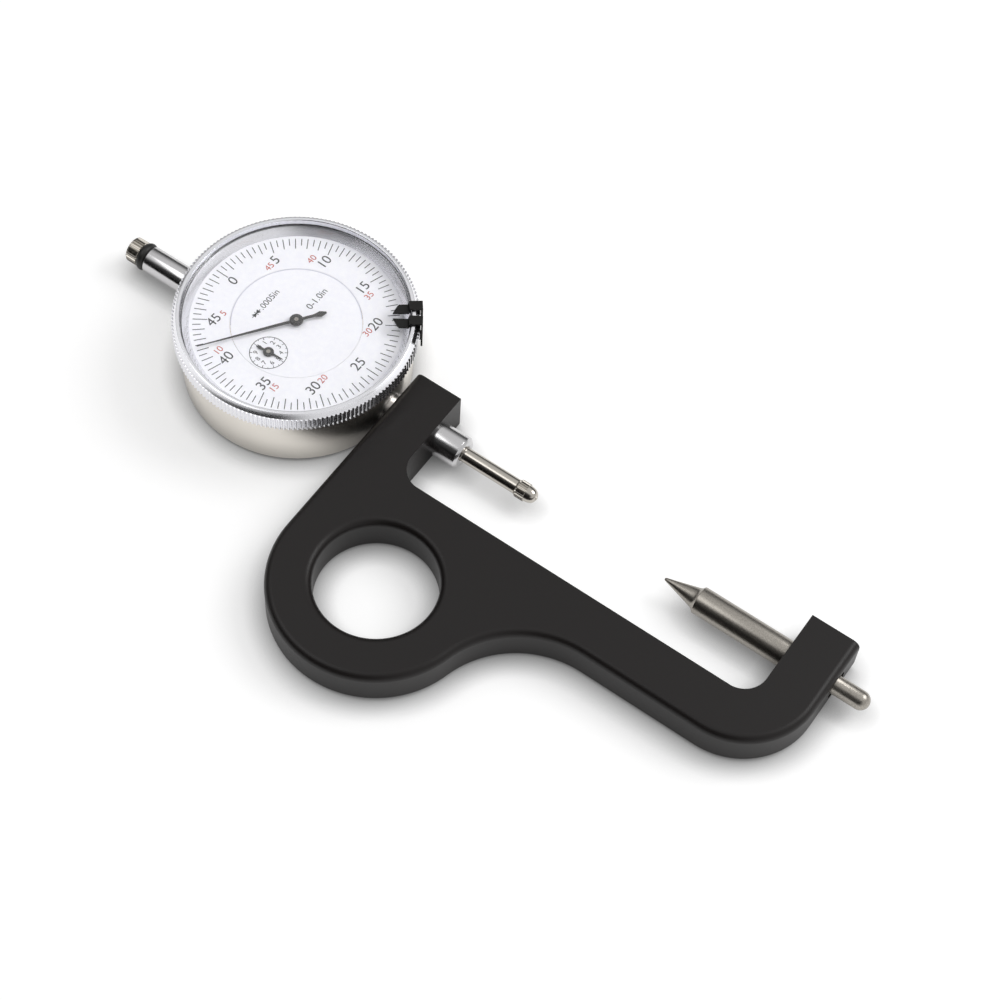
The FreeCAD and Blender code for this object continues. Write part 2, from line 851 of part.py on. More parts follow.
def clip_profile():
    """Bent strip seen from its edge, as (radius, height) points round both of its faces."""
    under = crystal_top + clip_crystal_gap
    over = bezel_top + clip_rim_gap
    out = bezel_radius + clip_rim_gap
    low = bezel_bottom - clip_rim_gap
    hook = out - clip_hook_length
    ramp_start = lip_radius - clip_ramp_start
    ramp_end = lip_radius - clip_ramp_end
    slope = math.atan2(over - under, ramp_end - ramp_start)
    bend = clip_sheet * math.tan(slope / 2)
    return [
        (clip_tip_radius, under),
        (ramp_start, under),
        (ramp_end, over),
        (out, over),
        (out, low),
        (hook, low),
        (hook, low - clip_sheet),
        (out + clip_sheet, low - clip_sheet),
        (out + clip_sheet, over + clip_sheet),
        (ramp_end - bend, over + clip_sheet),
        (ramp_start - bend, under + clip_sheet),
        (clip_tip_radius, under + clip_sheet),
    ]


def clip_tab():
    """Flat ear beside the clip, for turning it by hand."""
    top = bezel_top + clip_rim_gap + clip_sheet - clip_tab_drop
    tab_end = clip_width + clip_tab_length
    tab = Part.makeBox(clip_sheet, clip_tab_length, clip_tab_height)
    tab.translate(Vector(bezel_radius + clip_rim_gap, clip_width, top - clip_tab_height))
    at_end = [e for e in tab.Edges if e.BoundBox.YMin > tab_end - 1e-3]
    corners = [e for e in at_end if e.BoundBox.ZLength < clip_tab_height / 2]
    return tab.makeFillet(clip_tab_round, corners)


def limit_clip(side):
    """Side 1 lies on the anticlockwise side of the gap; side -1, on the other, has the tab."""
    face = polygon_face([(r, 0, z) for r, z in clip_profile()])
    clip = face.extrude(Vector(0, clip_width, 0))
    slant_end = clip_tip_radius + clip_point_length
    before = clip_tip_radius - clip_width
    beyond = 2 * clip_width
    waste = [
        (before, -clip_width),
        (clip_tip_radius - clip_point_length, -clip_width),
        (clip_tip_radius, 0),
        (slant_end, clip_width - clip_corner),
        (slant_end + clip_corner, clip_width),
        (slant_end + clip_corner, beyond),
        (before, beyond),
    ]
    clip = clip.cut(prism_z(waste, crystal_bottom, bezel_top + clip_width))
    if side < 0:
        clip = joined([clip, clip_tab()])
        clip = clip.mirror(Vector(0, 0, 0), Vector(0, 1, 0))
    return turned_about_z(clip, clip_angle + side * clip_half_gap_angle)


# Movement plates, bridge and posts

def arbor_places():
    return [(rack_arbor_x, rack_arbor_y), (0, 0), (0, -counter_offset), (-rack_arbor_x, -rack_arbor_y)]


def pierced(plate, places, radius, low, high):
    for x, y in places:
        plate = plate.cut(through_z(radius, low, high, x, y))
    return plate


def pillar_places():
    return [on_circle(pillar_circle, angle) for angle in pillar_angles]


def lug_places():
    return [on_circle(lug_circle, angle) for angle in lug_angles]


def lower_plate():
    low = lower_plate_z
    high = lower_plate_top
    plate = cylinder_z(lower_plate_radius, low, high)
    plate = pierced(plate, arbor_places(), arbor_radius + running_gap, low, high)
    plate = pierced(plate, pillar_places(), pillar_spigot_radius + press_gap, low, high)
    plate = pierced(plate, lug_places(), back_screw_radius + fixed_gap, low, high)
    plate = pierced(plate, [(spring_post_x, spring_offset)], small_pin_radius + press_gap, low, high)
    half = guide_pin_radius + running_gap
    slot_start = guide_pin_x - spindle_travel - guide_slot_margin
    slot_end = guide_pin_x + guide_slot_margin
    slot = Part.makeBox(slot_end - slot_start, 2 * half, 3 * lower_plate_thickness)
    slot.translate(Vector(slot_start, -half, low - lower_plate_thickness))
    plate = plate.cut(slot)
    return pierced(plate, [(slot_start, 0), (slot_end, 0)], half, low, high)


def upper_plate():
    low = upper_plate_z
    high = upper_plate_top
    plate = cylinder_z(upper_plate_radius, low, high)
    plate = pierced(plate, arbor_places(), arbor_radius + running_gap, low, high)
    return pierced(plate, pillar_places(), pillar_spigot_radius + press_gap, low, high)


def plate_pillars():
    pillars = []
    for x, y in pillar_places():
        section = [
            (0, lower_plate_z),
            (pillar_spigot_radius, lower_plate_z),
            (pillar_spigot_radius, lower_plate_top),
            (pillar_radius, lower_plate_top),
            (pillar_radius, upper_plate_z),
            (pillar_spigot_radius, upper_plate_z),
            (pillar_spigot_radius, upper_plate_top),
            (0, upper_plate_top),
        ]
        pillars.append(turned_z(section, x, y))
    return group(pillars)


def plate_screws():
    screws = []
    foot = lower_plate_z - lug_screw_depth
    head_top = lower_plate_top + lug_screw_head_height
    for k, (x, y) in enumerate(lug_places()):
        section = [
            (0, foot),
            (back_screw_radius, foot),
            (back_screw_radius, lower_plate_top),
            (back_screw_head_radius, lower_plate_top),
            (back_screw_head_radius, head_top),
            (0, head_top),
        ]
        screws.append(turned_z(section, x, y).cut(screw_slot(x, y, head_top, 40 * k)))
    return group(screws)


def bridge_low():
    return axis_z - rack_pinion_pitch - bridge_drop


def rack_bridge():
    low = bridge_low()
    high = low + bridge_thickness
    x0 = rack_arbor_x - bridge_half_width
    y0 = rack_arbor_y - bridge_reach
    plate = Part.makeBox(2 * bridge_half_width, bridge_reach + bridge_margin, bridge_thickness)
    plate.translate(Vector(x0, y0, low))
    corners = [e for e in plate.Edges if e.BoundBox.ZLength > 0.9 * bridge_thickness]
    plate = plate.makeFillet(bridge_corner_radius, [e for e in corners if e.BoundBox.XLength < 1e-3])
    leg_y = y0 + bridge_leg_inset
    leg_step = bridge_half_width - bridge_leg_inset
    legs = [
        cylinder_z(bridge_leg_radius, low, lower_plate_z, rack_arbor_x - leg_step, leg_y),
        cylinder_z(bridge_leg_radius, low, lower_plate_z, rack_arbor_x + leg_step, leg_y),
    ]
    hole = [(rack_arbor_x, rack_arbor_y)]
    return pierced(joined([plate] + legs), hole, arbor_radius + running_gap, low, high)


def spring_post():
    foot = axis_z - spring_coil_radius - small_pin_collar
    collar = small_pin_radius + small_pin_collar
    return joined([
        cylinder_z(small_pin_radius, foot, lower_plate_top, spring_post_x, spring_offset),
        cylinder_z(collar, foot, foot + 2 * small_pin_collar, spring_post_x, spring_offset),
    ])


def return_spring():
    """Wire of square section, wound round the line between the two pins."""
    start = spring_pin_x + small_pin_radius + spring_hook_gap
    end = spring_post_x - small_pin_radius - spring_hook_gap
    steps = 12
    points = []
    for k in range(spring_turns * steps + 1):
        y, z = on_circle(spring_coil_radius, 360.0 * k / steps, spring_offset, axis_z)
        points.append(Vector(start + (end - start) * k / (spring_turns * steps), y, z))
    along = (points[1] - points[0]).normalize()
    outward = Vector(0, 1, 0) - along * along.y
    across = along.cross(outward)
    corners = [outward, across, outward * -1, across * -1]
    section = [points[0] + corner * spring_wire_radius for corner in corners]
    wire = Part.Wire(Part.makePolygon(points).Edges)
    return wire.makePipeShell([Part.makePolygon(section + [section[0]])], True, False, 1)


# Arbors, gears and hands

def rack_pinion_arbor():
    low = bridge_low()
    x = rack_arbor_x
    y = rack_arbor_y
    pinion_low = low + bridge_thickness + arbor_end_gap
    arbor = cylinder_z(arbor_radius, low + arbor_end_gap, upper_plate_top - arbor_end_gap, x, y)
    pinion = gear(rack_pinion_teeth, rack_module, 90, pinion_low, lower_plate_z - pinion_margin, x, y, 3)
    return joined([arbor, pinion])


def wheel(teeth, module, first_tooth, z0, x, y):
    disc = gear(teeth, module, first_tooth, z0, z0 + wheel_thickness, x, y)
    return pierced(disc, [(x, y)], arbor_radius + press_gap, z0, z0 + wheel_thickness)


def toward(x0, y0, x1, y1):
    return math.degrees(math.atan2(y1 - y0, x1 - x0))


def drive_gear():
    first = toward(rack_arbor_x, rack_arbor_y, 0, 0) + 180.0 / wheel_teeth
    return wheel(wheel_teeth, centre_module, first, wheel_z, rack_arbor_x, rack_arbor_y)


def take_up_gear():
    first = toward(-rack_arbor_x, -rack_arbor_y, 0, 0) + 180.0 / wheel_teeth
    return wheel(wheel_teeth, centre_module, first, wheel_z, -rack_arbor_x, -rack_arbor_y)


def counter_drive_gear():
    first = toward(rack_arbor_x, rack_arbor_y, 0, -counter_offset)
    return wheel(counter_drive_teeth, counter_module, first, counter_wheel_z, rack_arbor_x, rack_arbor_y)


def counter_gear():
    first = toward(0, -counter_offset, rack_arbor_x, rack_arbor_y) + 180.0 / counter_teeth
    return wheel(counter_teeth, counter_module, first, counter_wheel_z, 0, -counter_offset)


def centre_arbor():
    facing = toward(0, 0, rack_arbor_x, rack_arbor_y)
    low = wheel_z - pinion_margin
    high = wheel_z + wheel_thickness + pinion_margin
    top = main_hand_z + hand_sheet + hand_hub_height
    arbor = cylinder_z(arbor_radius, lower_plate_z + arbor_foot_gap, top)
    return joined([arbor, gear(centre_pinion_teeth, centre_module, facing, low, high, 0, 0, 3)])


def counter_arbor():
    top = counter_hand_z + hand_sheet + counter_hub_height
    return cylinder_z(arbor_radius, lower_plate_z + arbor_foot_gap, top, 0, -counter_offset)


def take_up_arbor():
    x = -rack_arbor_x
    y = -rack_arbor_y
    arbor = cylinder_z(arbor_radius, lower_plate_z + arbor_foot_gap, upper_plate_top - arbor_end_gap, x, y)
    collet_top = counter_wheel_z + hairspring_height + 2 * arbor_end_gap
    collet = cylinder_z(hairspring_inner - hairspring_strip, counter_wheel_z, collet_top, x, y)
    return joined([arbor, collet])


def hairspring():
    """Flat spiral strip, held at its outer end by a stud on the upper plate."""
    steps = 16 * hairspring_turns
    low = counter_wheel_z + arbor_end_gap
    inner = []
    outer = []
    for k in range(steps + 1):
        radius = hairspring_inner + hairspring_pitch * hairspring_turns * k / steps
        angle = 360.0 * hairspring_turns * k / steps
        inner.append(on_circle(radius, angle, -rack_arbor_x, -rack_arbor_y))
        outer.append(on_circle(radius + hairspring_strip, angle, -rack_arbor_x, -rack_arbor_y))
    return prism_z(inner + outer[::-1], low, low + hairspring_height)


def hairspring_stud():
    reach = hairspring_inner + hairspring_pitch * hairspring_turns + hairspring_strip
    x = -rack_arbor_x + reach + hairspring_stud_radius + running_gap
    return cylinder_z(hairspring_stud_radius, counter_wheel_z, upper_plate_z, x, -rack_arbor_y)


def hand_blade(outline, z0, angle, x, y, hub_radius):
    blade = prism_z([(x + px, y + py) for px, py in outline], z0, z0 + hand_sheet)
    eye = cylinder_z(hub_radius, z0, z0 + hand_sheet, x, y)
    blade = pierced(joined([blade, eye]), [(x, y)], arbor_radius + press_gap, z0, z0 + hand_sheet)
    return turned_about_z(blade, angle, x, y)


def main_hand():
    half = main_hand_half_width
    outline = [
        (main_hand_length, 0.25 * half),
        (0.2 * main_hand_length, half),
        (-0.6 * main_hand_tail, half),
        (-0.8 * main_hand_tail, 2.2 * half),
        (-main_hand_tail, 0.6 * half),
    ]
    mirrored = [(px, -py) for px, py in reversed(outline)]
    return hand_blade(outline + mirrored, main_hand_z, main_hand_angle, 0, 0, hand_hub_radius)


def main_hand_hub():
    bore = arbor_radius + press_gap
    top = main_hand_z + hand_sheet
    section = [
        (bore, top),
        (hand_hub_radius, top),
        (hand_hub_radius, top + hand_hub_height / 2),
        (hand_hub_radius - hand_hub_height / 2, top + hand_hub_height),
        (bore, top + hand_hub_height),
    ]
    return turned_z(section)


def counter_hand():
    half = counter_hand_half_width
    outline = [
        (counter_hand_length, 0.25 * half),
        (0.3 * counter_hand_length, half),
        (-0.6 * counter_hand_tail, half),
        (-0.8 * counter_hand_tail, 1.8 * half),
        (-counter_hand_tail, 0.5 * half),
    ]
    mirrored = [(px, -py) for px, py in reversed(outline)]
    whole = outline + mirrored
    return hand_blade(whole, counter_hand_z, counter_hand_angle, 0, -counter_offset, counter_hub_radius)


def counter_hand_hub():
    bore = arbor_radius + press_gap
    top = counter_hand_z + hand_sheet
    section = [
        (bore, top),
        (counter_hub_radius, top),
        (counter_hub_radius - counter_hub_height / 2, top + counter_hub_height),
        (bore, top + counter_hub_height),
    ]
    return turned_z(section, 0, -counter_offset)


save("frame_plate", frame_plate())
save("stem_set_screw", set_screw(arm_left + bar_width / 2, stem_radius))
save("anvil_set_screw", set_screw(throat_right + bar_width / 2, anvil_radius))
save("anvil", anvil())
save("case", case())
save("case_back", case_back())
save("back_screws", back_screws())
save("retaining_ring", retaining_ring())
save("stem", stem())
save("rear_tube", rear_tube())
save("spindle", spindle())
save("contact_point", contact_point())
save("guide_pin", guide_pin())
save("spring_pin", spring_pin())
save("pull_knob", pull_knob())
save("knob_o_ring", knob_o_ring())
save("bezel", bezel())
save("crystal", crystal())
save("dial_ring", dial_ring())
save("dial_disc", dial_disc())
save("dial_posts", dial_posts())
save("limit_clip_left", limit_clip(1))
save("limit_clip_right", limit_clip(-1))
save("lower_plate", lower_plate())
save("upper_plate", upper_plate())
save("plate_pillars", plate_pillars())
save("plate_screws", plate_screws())
save("rack_bridge", rack_bridge())
save("spring_post", spring_post())
save("return_spring", return_spring())
save("rack_pinion_arbor", rack_pinion_arbor())
save("drive_gear", drive_gear())
save("counter_drive_gear", counter_drive_gear())
save("centre_arbor", centre_arbor())
save("take_up_gear", take_up_gear())
save("take_up_arbor", take_up_arbor())
save("hairspring", hairspring())
save("hairspring_stud", hairspring_stud())
save("counter_gear", counter_gear())
save("counter_arbor", counter_arbor())
save("main_hand", main_hand())
save("main_hand_hub", main_hand_hub())
save("counter_hand", counter_hand())
save("counter_hand_hub", counter_hand_hub())
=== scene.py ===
import json
import math
import bpy
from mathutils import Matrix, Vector


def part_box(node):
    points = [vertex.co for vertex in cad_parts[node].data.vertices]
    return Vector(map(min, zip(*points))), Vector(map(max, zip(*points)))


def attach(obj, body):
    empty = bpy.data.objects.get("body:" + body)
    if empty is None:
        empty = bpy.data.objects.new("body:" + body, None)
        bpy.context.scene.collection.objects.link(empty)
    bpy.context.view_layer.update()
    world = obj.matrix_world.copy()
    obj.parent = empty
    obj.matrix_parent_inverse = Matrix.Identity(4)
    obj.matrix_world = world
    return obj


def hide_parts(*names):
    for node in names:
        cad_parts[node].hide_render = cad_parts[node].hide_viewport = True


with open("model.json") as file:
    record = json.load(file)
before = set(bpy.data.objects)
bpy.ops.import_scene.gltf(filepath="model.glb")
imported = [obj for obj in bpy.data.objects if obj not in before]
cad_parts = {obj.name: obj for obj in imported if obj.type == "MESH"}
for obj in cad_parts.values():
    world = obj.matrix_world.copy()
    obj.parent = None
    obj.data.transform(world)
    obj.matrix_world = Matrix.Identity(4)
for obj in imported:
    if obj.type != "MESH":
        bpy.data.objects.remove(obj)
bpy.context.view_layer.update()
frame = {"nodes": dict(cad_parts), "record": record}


# Frame plate.
# One flat bar of aluminium, cut to a C with a finger ring at one corner. Its outer edge and the finger
# hole are rounded over and the throat is left square. It is fine-blasted and anodised matte black.

MM = 0.001


def linear(colour):
    """Turn an sRGB hex colour into the linear values that a shader takes."""
    parts = [int(colour[k:k + 2], 16) / 255 for k in (1, 3, 5)]
    return tuple(p / 12.92 if p <= 0.04045 else ((p + 0.055) / 1.055) ** 2.4 for p in parts) + (1.0,)


def add_node(tree, kind, values=None, links=None, **properties):
    """Add a node, set its properties and its sockets, and link outputs of other nodes to it."""
    node = tree.nodes.new(kind)
    for name, value in properties.items():
        setattr(node, name, value)
    for name, value in (values or {}).items():
        node.inputs[name].default_value = value
    for name, (other, output) in (links or {}).items():
        tree.links.new(other.outputs[output], node.inputs[name])
    return node


def start_material(name, values):
    """A new material with one Principled shader; returns the material, its tree and the shader."""
    material = bpy.data.materials.new(name)
    material.use_nodes = True
    tree = material.node_tree
    tree.nodes.clear()
    shader = add_node(tree, "ShaderNodeBsdfPrincipled", values)
    add_node(tree, "ShaderNodeOutputMaterial", links={"Surface": (shader, "BSDF")})
    return material, tree, shader


def vary_roughness(tree, shader, pattern, low, high):
    """Let a pattern move the shader's roughness between two values."""
    spread = add_node(tree, "ShaderNodeMapRange", {"To Min": low, "To Max": high},
                      {"Value": (pattern, "Fac")})
    tree.links.new(spread.outputs["Result"], shader.inputs["Roughness"])


def grained(name, values, grain_mm, height_mm, rough=None, shades=None, stretch=(1, 1, 1)):
    """A material whose fine grain bumps it and moves its roughness and, where given, its colour.

    The grain has a real size, and is longer along an axis where stretch is under 1.
    """
    material, tree, shader = start_material(name, values)
    place = add_node(tree, "ShaderNodeTexCoord")
    scaled = add_node(tree, "ShaderNodeMapping", {"Scale": stretch}, {"Vector": (place, "Object")})
    noise = add_node(tree, "ShaderNodeTexNoise", {"Scale": 1 / (grain_mm * MM), "Detail": 3.0},
                     {"Vector": (scaled, "Vector")})
    bump = add_node(tree, "ShaderNodeBump", {"Strength": 1.0, "Distance": height_mm * MM},
                    {"Height": (noise, "Fac")})
    tree.links.new(bump.outputs["Normal"], shader.inputs["Normal"])
    if rough:
        vary_roughness(tree, shader, noise, *rough)
    if shades:
        ramp = add_node(tree, "ShaderNodeValToRGB", links={"Fac": (noise, "Fac")})
        for element, position, shade in zip(ramp.color_ramp.elements, (0.3, 0.7), shades):
            element.position = position
            element.color = linear(shade)
        tree.links.new(ramp.outputs["Color"], shader.inputs["Base Color"])
    return material


def dress(piece, material, body=None, nodes=()):
    """Give a piece its material and, where it is a new one, attach it to the body it rides on and hide the
    parts it stands in for.
    """
    piece.data.materials.clear()
    piece.data.materials.append(material)
    if body:
        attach(piece, body)
    if nodes:
        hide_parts(*nodes)


def draw_path(name, points):
    """Start a mesh as one line through the points, in edit mode, by extruding a single vertex."""
    bpy.ops.object.select_all(action="DESELECT")
    bpy.ops.mesh.primitive_plane_add(size=MM)
    piece = bpy.context.object
    piece.name = name
    bpy.ops.object.mode_set(mode="EDIT")
    bpy.ops.mesh.merge(type="CENTER")
    bpy.ops.transform.translate(value=Vector(points[0]))
    for start, end in zip(points, points[1:]):
        bpy.ops.mesh.extrude_region_move(TRANSFORM_OT_translate={"value": Vector(end) - Vector(start)})
    return piece


def cut(piece, cutter):
    """Cut one piece with another, which is then removed."""
    bpy.context.view_layer.objects.active = piece
    modifier = piece.modifiers.new("cut", "BOOLEAN")
    modifier.operation = "DIFFERENCE"
    modifier.solver = "EXACT"
    modifier.object = cutter
    bpy.ops.object.modifier_apply(modifier="cut")
    bpy.data.objects.remove(cutter)


def soften(piece, width_mm, segments=2, limit=30):
    """Break the sharp edges, then shade the piece smooth up to that angle."""
    bpy.ops.object.select_all(action="DESELECT")
    piece.select_set(True)
    bpy.context.view_layer.objects.active = piece
    if width_mm:
        bevel = piece.modifiers.new("edge", "BEVEL")
        bevel.width = width_mm * MM
        bevel.segments = segments
        bevel.limit_method = "ANGLE"
        bevel.angle_limit = math.radians(limit)
        bpy.ops.object.modifier_apply(modifier="edge")
    bpy.ops.object.shade_smooth_by_angle(angle=math.radians(limit))


def rod(name, radius, start, end, segments=96):
    """A plain cylinder between two points, used as a cutter."""
    run = Vector(end) - Vector(start)
    middle = (Vector(end) + Vector(start)) / 2
    bpy.ops.object.select_all(action="DESELECT")
    bpy.ops.mesh.primitive_cylinder_add(vertices=segments, radius=radius, depth=run.length, location=middle,
                                        rotation=run.to_track_quat("Z", "Y").to_euler())
    bpy.ops.object.transform_apply(location=True, rotation=True, scale=True)
    bpy.context.object.name = name
    return bpy.context.object


def arc(centre, radius, start, end, steps):
    """Points of an arc in the XY plane, from one angle in degrees to another."""
    turns = [math.radians(start + (end - start) * k / steps) for k in range(steps + 1)]
    return [(centre[0] + radius * math.cos(t), centre[1] + radius * math.sin(t), 0.0) for t in turns]


plate_low, plate_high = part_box("frame_plate")
finger_hole = next(mount for mount in frame["record"]["mounts"] if mount["name"] == "finger_hole")
ring_centre = Vector(finger_hole["pos_m"])
hole_radius = finger_hole["dims"]["r_mm"] * MM
stem_radius = 4.7625 * MM
anvil_bore = 4.0 * MM
set_screw_radius = 2.4 * MM
bar_width = 14.8 * MM
edge_round = 2.2
edge_break = 0.12
throat_depth = 30.2 * MM
throat_radius = 7.1 * MM
waist_radius = 28.7 * MM
spare = 5 * MM
cutter_reach = Vector((0, 0, 20 * MM))
axis_z = (plate_low.z + plate_high.z) / 2
thickness = plate_high.z - plate_low.z
throat_floor = plate_high.y - throat_depth
throat_width = plate_high.x - plate_low.x - 2 * bar_width
throat_middle = plate_low.x + bar_width + throat_width / 2
spine_low = throat_floor - bar_width
ring_radius = ring_centre.x - plate_low.x
corner = (plate_high.x - bar_width - throat_radius, throat_floor + throat_radius)
waist_y = spine_low - waist_radius
waist_x = ring_centre.x + math.sqrt((ring_radius + waist_radius) ** 2 - (waist_y - ring_centre.y) ** 2)
waist_angle = math.degrees(math.atan2(ring_centre.y - waist_y, ring_centre.x - waist_x))

# The outline runs across both arms, round the far corner, in at the waist and round the finger ring
outline = [(plate_low.x, plate_high.y + spare, 0.0), (plate_high.x, plate_high.y + spare, 0.0)]
outline += arc(corner, throat_radius + bar_width, 0, -90, steps=24)
outline += arc((waist_x, waist_y), waist_radius, 90, waist_angle, steps=20)
outline += arc(ring_centre, ring_radius, waist_angle - 180, -180, steps=56)[1:]
plate = draw_path("plate_body", outline)
bpy.ops.mesh.select_all(action="SELECT")
bpy.ops.mesh.edge_face_add()
bpy.ops.mesh.extrude_region_move(TRANSFORM_OT_translate={"value": (0, 0, thickness)})
bpy.ops.mesh.select_all(action="SELECT")
bpy.ops.mesh.normals_make_consistent(inside=False)
bpy.ops.object.mode_set(mode="OBJECT")
cut(plate, rod("finger_hole_cutter", hole_radius, ring_centre - cutter_reach, ring_centre + cutter_reach,
               segments=128))
soften(plate, edge_round, segments=6, limit=60)

# The throat is cut after the edges are rounded, by a block with two rounded corners, so it stays square
bpy.ops.object.select_all(action="DESELECT")
bpy.ops.mesh.primitive_cube_add(size=1)
throat = bpy.context.object
bpy.ops.transform.resize(value=(throat_width, throat_depth * 2, thickness * 2))
bpy.ops.transform.translate(value=(throat_middle, throat_floor + throat_depth, axis_z))
bpy.ops.object.transform_apply(location=True, rotation=True, scale=True)
bpy.ops.object.mode_set(mode="EDIT")
bpy.ops.mesh.select_all(action="DESELECT")
bpy.ops.object.mode_set(mode="OBJECT")
for edge in throat.data.edges:
    ends = [throat.data.vertices[v].co for v in edge.vertices]
    edge.select = all(end.y < throat_floor + MM for end in ends) and abs(ends[0].z - ends[1].z) > MM
bpy.ops.object.mode_set(mode="EDIT")
bpy.ops.mesh.select_mode(type="EDGE")
bpy.ops.mesh.bevel(offset=throat_radius, segments=16)
bpy.ops.mesh.select_mode(type="VERT")
bpy.ops.object.mode_set(mode="OBJECT")
cut(plate, throat)

# The arms were drawn too long and are cut off square, so that their ends have no rounding
bpy.ops.object.mode_set(mode="EDIT")
bpy.ops.mesh.select_all(action="SELECT")
bpy.ops.mesh.bisect(plane_co=(0, plate_high.y, 0), plane_no=(0, 1, 0), clear_outer=True, use_fill=True)
bpy.ops.object.mode_set(mode="OBJECT")
for node in ("stem_set_screw", "anvil_set_screw"):
    low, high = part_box(node)
    x = (low.x + high.x) / 2
    start, end = (x, 0, axis_z), (x, plate_high.y + MM, axis_z)
    cut(plate, rod("screw_hole", set_screw_radius, start, end, segments=48))
for radius, x in ((stem_radius, plate_low.x), (anvil_bore, plate_high.x - bar_width)):
    cut(plate, rod("bore", radius, (x - MM, 0, axis_z), (x + bar_width + MM, 0, axis_z)))
soften(plate, edge_break, segments=2, limit=50)
smooth = plate.modifiers.new("flats", "WEIGHTED_NORMAL")
smooth.keep_sharp = True
bpy.ops.object.modifier_apply(modifier="flats")

# Anodising over a blasted face is a soft charcoal black with a wide, weak shine. The blasted grain is about
# 0.05 mm and is drawn three times as coarse so that it shows.
anodised = grained("black_anodised_aluminium", {
    "Base Color": linear("#151211"), "Metallic": 0.0, "Roughness": 0.42, "IOR": 1.5,
    "Specular IOR Level": 0.34}, grain_mm=0.16, height_mm=0.004, rough=(0.37, 0.48),
    shades=("#100c0b", "#161110"))
dress(plate, anodised, "frame", ["frame_plate"])


# Set screws.
# Two socket screws in the ends of the arms, which lock the stem and the anvil. They are cut from alloy
# steel, hardened and blackened in an oxide bath.

# The oxide is a thin dark skin with a dull metal sheen. Its grain is drawn several times as coarse, so that
# it shows.
black_oxide = grained("black_oxide_steel", {
    "Base Color": linear("#24211f"), "Metallic": 1.0, "Roughness": 0.38},
    grain_mm=0.2, height_mm=0.003, rough=(0.3, 0.5))
for node in ("stem_set_screw", "anvil_set_screw"):
    dress(frame["nodes"][node], black_oxide)


# Anvil.
# A pin turned from tool steel: a sharp point, a hollow flank and a small shoulder, a long plain body and a
# thinner tail with a domed end. It is barrel-finished and held in the far arm.

def turned(name, section, along, segments, edge=0.0, offset_y=0.0):
    """Spin a section of (place along the axis, radius) points, in mm.

    The axis is the spindle's line for "X", or for "Z" the dial's own or one beside it by offset_y.
    """
    if along == "X":
        points = [(x * MM, 0.0, axis_z + r * MM) for x, r in section]
        axis, centre = (1, 0, 0), (0, 0, axis_z)
    else:
        points = [(r * MM, offset_y, z * MM) for z, r in section]
        axis, centre = (0, 0, 1), (0, offset_y, 0)
    piece = draw_path(name, points)
    bpy.ops.mesh.select_all(action="SELECT")
    bpy.ops.mesh.spin(steps=segments, angle=2 * math.pi, center=centre, axis=axis)
    bpy.ops.mesh.select_all(action="SELECT")
    bpy.ops.mesh.remove_doubles(threshold=1e-6)
    bpy.ops.mesh.normals_make_consistent(inside=False)
    bpy.ops.object.mode_set(mode="OBJECT")
    soften(piece, edge)
    return piece


def dome(x, length, radius, flat, steps):
    """Section points of a rounded end, from its full radius down to a small flat."""
    turns = [math.pi / 2 * k / steps for k in range(steps + 1)]
    return [(x + length * math.sin(t), flat + (radius - flat) * math.cos(t)) for t in turns]


anvil_low, anvil_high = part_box("anvil")
tip = anvil_low.x / MM
tail_end = anvil_high.x / MM
body_radius = (anvil_high.z - anvil_low.z) / 2 / MM
body_end = plate_high.x / MM - 0.4
tail_radius = 2.7
point_root = 0.42
flank_length = 9.6
flank_rise = 2.53
flank_hollow = 1.06
flank_steps = 8
anvil_section = [(tip, 0.0), (tip + 0.05, 0.28), (tip + 0.25, point_root)]
for k in range(1, flank_steps + 1):
    rise = flank_rise * (k / flank_steps) ** flank_hollow
    anvil_section.append((tip + flank_length * k / flank_steps, point_root + rise))
anvil_section += [(tip + 10.0, 3.12), (tip + 10.35, 3.35), (tip + 10.7, 3.7), (tip + 10.9, body_radius)]
anvil_section += [(body_end, body_radius), (body_end, tail_radius)]
anvil_section += dome(tail_end - tail_radius, tail_radius, tail_radius, flat=0.0, steps=10)
anvil = turned("anvil_pin", anvil_section, "X", segments=96, edge=0.08)

# Barrel-finished steel is a grey satin whose highlight breaks up into fine pits. They are 0.1 to 0.2 mm wide
# and are drawn slightly coarser.
satin_steel = grained("satin_tool_steel", {
    "Base Color": linear("#a8a39b"), "Metallic": 1.0, "Roughness": 0.3},
    grain_mm=0.25, height_mm=0.006, rough=(0.24, 0.42), shades=("#8d8881", "#b6b1a9"))
dress(anvil, satin_steel, "anvil", ["anvil"])


# Case.
# A cup turned from aluminium, satin all over, with a small foot chamfer. The stem and the rear tube are
# fixed in two holes through its wall.

case_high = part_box("case")[1]
case_radius = case_high.x / MM
case_top = case_high.z / MM
case_bore = case_radius - 2.0
case_floor = 1.4
back_hole = 26.4
tube_radius = 4.0
hole_reach = 5.7
case_section = [
    (0.0, back_hole), (0.0, case_radius - 1.2), (0.25, case_radius - 1.0), (1.2, case_radius),
    (case_top, case_radius), (case_top, case_bore), (case_floor, case_bore), (case_floor, back_hole),
    (0.0, back_hole)]
case = turned("case_cup", case_section, "Z", segments=192, edge=0.15)
for x, radius in ((28.0, stem_radius / MM), (-case_radius - 1, tube_radius)):
    start, end = (x * MM, 0, axis_z), ((x + hole_reach) * MM, 0, axis_z)
    cut(case, rod("wall_hole", radius * MM, start, end, segments=64))
soften(case, 0.0)

